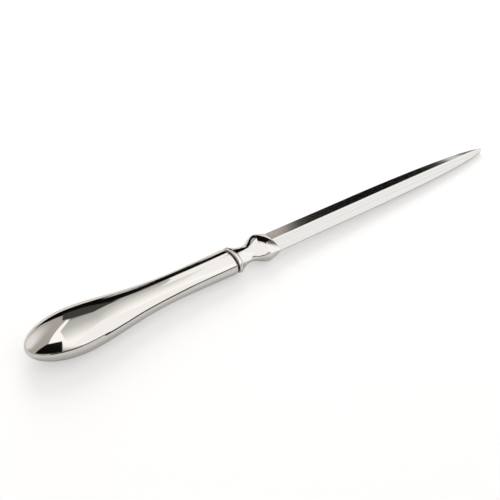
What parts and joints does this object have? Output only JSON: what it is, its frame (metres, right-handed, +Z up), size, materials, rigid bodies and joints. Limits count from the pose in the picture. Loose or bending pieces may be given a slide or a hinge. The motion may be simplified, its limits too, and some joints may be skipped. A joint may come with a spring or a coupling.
{
  "type": "letter opener",
  "caption": "Polished letter opener: hollow teardrop handle, thin collar ring, waisted bolster and a straight ridged blade with an elliptical point.",
  "frame": {"origin": "centre of the bounding box, at the level of the desk that the opener lies on", "axes": "+X from the handle's nose to the blade's point, +Y across the blade, +Z up from the desk"},
  "size_m": [0.23, 0.023, 0.0144],
  "materials": {
    "polished_silver": "mirror polished silver plate with fine handling scratches",
    "ground_steel": "stainless steel, ground lengthwise and polished",
    "plate_brass": "plain rolled brass",
    "setting_cement": "hard resin cement"
  },
  "bodies": {
    "root": {"handle_shell_upper": "polished_silver", "handle_shell_lower": "polished_silver", "collar_ring": "polished_silver", "bolster": "polished_silver", "blade": "ground_steel", "mouth_plate": "plate_brass", "filler": "setting_cement"}
  },
  "joints": []
}
